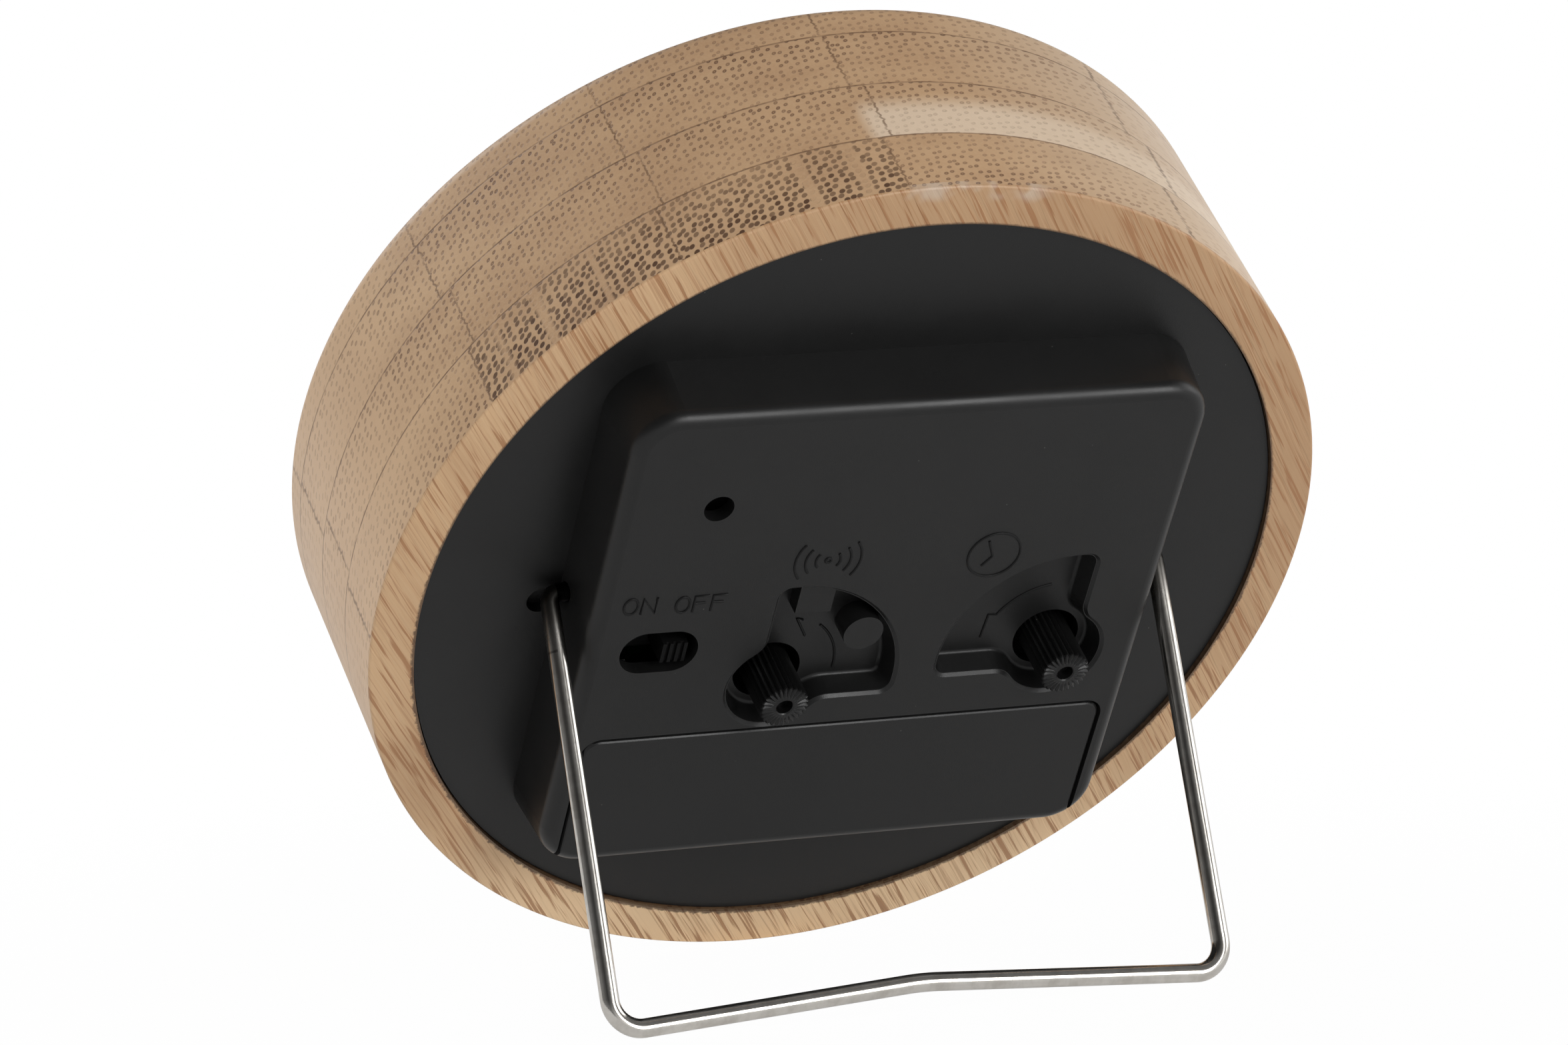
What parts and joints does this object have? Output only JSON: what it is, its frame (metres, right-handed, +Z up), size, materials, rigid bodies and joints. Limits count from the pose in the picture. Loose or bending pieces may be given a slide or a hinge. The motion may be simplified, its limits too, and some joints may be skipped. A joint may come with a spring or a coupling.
{
  "type": "desk alarm clock",
  "caption": "Round desk alarm clock in a laminated bamboo case, with a black moulded back, setting knobs, an alarm switch, a battery door and a folding wire stand.",
  "frame": {"origin": "middle of the bounding box at floor level, with the clock leaning back on its open stand", "axes": "+Z up, -Y towards the dial side, +Y towards the stand, +X to the right of someone facing the dial"},
  "size_m": [0.1, 0.0812, 0.0979],
  "materials": {
    "bamboo": "clear satin over laminated bamboo",
    "black_plastic": "satin moulded",
    "knob_plastic": "satin moulded, serrated",
    "steel_wire": "drawn and polished",
    "clear_lens": "clear polished",
    "dial_print": "matt printed",
    "ring_plastic": "matt moulded",
    "hand_black": "satin painted",
    "hand_red": "satin painted",
    "brass": "turned",
    "movement_plastic": "moulded",
    "gear_plastic": "moulded",
    "steel_small": "plated",
    "magnet": "sintered",
    "copper": "enamelled wire",
    "board_green": "lacquered board",
    "chip_black": "cast resin",
    "buzzer_black": "moulded",
    "contact_plate": "nickel plated",
    "cell_wrap": "printed sleeve"
  },
  "bodies": {
    "clock": {"bamboo_case": "bamboo", "lens": "clear_lens", "dial_ring": "ring_plastic", "dial": "dial_print", "dial_nut": "brass", "rear_cover": "black_plastic", "switch_body": "movement_plastic", "movement_tray": "movement_plastic", "movement_lid": "movement_plastic", "movement_screws": "steel_small", "stator": "steel_small", "coil_bobbin": "gear_plastic", "coil_winding": "copper", "alarm_leaf": "brass", "circuit_board": "board_green", "chip": "chip_black", "quartz_crystal": "steel_small", "buzzer": "buzzer_black", "positive_contact": "contact_plate", "negative_contact": "contact_plate", "battery_cell": "cell_wrap"},
    "stand": {"wire_stand": "steel_wire"},
    "door": {"battery_door": "black_plastic"},
    "alarm_switch": {"switch_slider": "knob_plastic"},
    "minute_works": {"cannon_tube": "brass", "minute_hand": "hand_black"},
    "motion_work": {"motion_wheel": "gear_plastic"},
    "time_setter": {"time_knob": "knob_plastic", "time_setting_gear": "gear_plastic"},
    "hour_works": {"hour_wheel": "gear_plastic", "hour_hand": "hand_black"},
    "alarm_works": {"alarm_wheel": "gear_plastic", "alarm_hand": "hand_black"},
    "alarm_setter": {"alarm_knob": "knob_plastic", "alarm_setting_gear": "gear_plastic"},
    "seconds_works": {"seconds_wheel": "gear_plastic", "second_hand": "hand_red"},
    "intermediate": {"intermediate_wheel": "gear_plastic"},
    "motor_rotor": {"rotor": "gear_plastic", "rotor_magnet": "magnet"},
    "third": {"third_wheel": "gear_plastic"},
    "centre_rim": {"centre_wheel": "gear_plastic"}
  },
  "joints": [
    {"name": "stand_fold", "type": "hinge", "parent": "clock", "child": "stand", "pos_m": [0, 0.01361, 0.04198], "axis": [-1, 0, 0], "range_deg": [0, 54]},
    {"name": "door_slide", "type": "slide", "parent": "clock", "child": "door", "axis": [0, -0.5783, -0.8158], "range_m": [0, 0.008]},
    {"name": "alarm_on", "type": "slide", "parent": "clock", "child": "alarm_switch", "axis": [1, 0, 0], "range_m": [0, 0.0036]},
    {"name": "minute_turn", "type": "hinge", "parent": "clock", "child": "minute_works", "pos_m": [0, 0.01182, 0.04067], "axis": [0, 0.8158, -0.5783], "continuous": true},
    {"name": "motion_turn", "type": "hinge", "parent": "clock", "child": "motion_work", "pos_m": [-0.01077, 0.01215, 0.04113], "axis": [0, 0.8158, -0.5783], "continuous": true},
    {"name": "time_knob_turn", "type": "hinge", "parent": "clock", "child": "time_setter", "pos_m": [-0.021, 0.00887, 0.03651], "axis": [0, 0.8158, -0.5783], "continuous": true},
    {"name": "hour_turn", "type": "hinge", "parent": "clock", "child": "hour_works", "pos_m": [0, 0.01182, 0.04067], "axis": [0, 0.8158, -0.5783], "continuous": true},
    {"name": "alarm_turn", "type": "hinge", "parent": "clock", "child": "alarm_works", "pos_m": [0, 0.01182, 0.04067], "axis": [0, 0.8158, -0.5783], "continuous": true},
    {"name": "alarm_knob_turn", "type": "hinge", "parent": "clock", "child": "alarm_setter", "pos_m": [0.0092, 0.00795, 0.03521], "axis": [0, 0.8158, -0.5783], "continuous": true},
    {"name": "second_turn", "type": "hinge", "parent": "clock", "child": "seconds_works", "pos_m": [0, 0.01182, 0.04067], "axis": [0, 0.8158, -0.5783], "continuous": true},
    {"name": "intermediate_turn", "type": "hinge", "parent": "clock", "child": "intermediate", "pos_m": [0.00935, 0.01495, 0.04508], "axis": [0, 0.8158, -0.5783], "continuous": true},
    {"name": "rotor_turn", "type": "hinge", "parent": "clock", "child": "motor_rotor", "pos_m": [0.01175, 0.01875, 0.05044], "axis": [0, 0.8158, -0.5783], "continuous": true},
    {"name": "third_turn", "type": "hinge", "parent": "clock", "child": "third", "pos_m": [-0.00264, 0.01752, 0.04871], "axis": [0, 0.8158, -0.5783], "continuous": true},
    {"name": "centre_turn", "type": "hinge", "parent": "clock", "child": "centre_rim", "pos_m": [0, 0.01182, 0.04067], "axis": [0, 0.8158, -0.5783], "continuous": true}
  ],
  "couplings": [
    {"joint": "motion_turn", "follows": "minute_turn", "ratio": -0.33333},
    {"joint": "time_knob_turn", "follows": "minute_turn", "ratio": 0.75},
    {"joint": "hour_turn", "follows": "minute_turn", "ratio": 0.083333},
    {"joint": "alarm_knob_turn", "follows": "alarm_turn", "ratio": -3.3333},
    {"joint": "intermediate_turn", "follows": "second_turn", "ratio": -5},
    {"joint": "rotor_turn", "follows": "second_turn", "ratio": 30},
    {"joint": "third_turn", "follows": "second_turn", "ratio": -0.13333},
    {"joint": "centre_turn", "follows": "second_turn", "ratio": 0.016667}
  ]
}
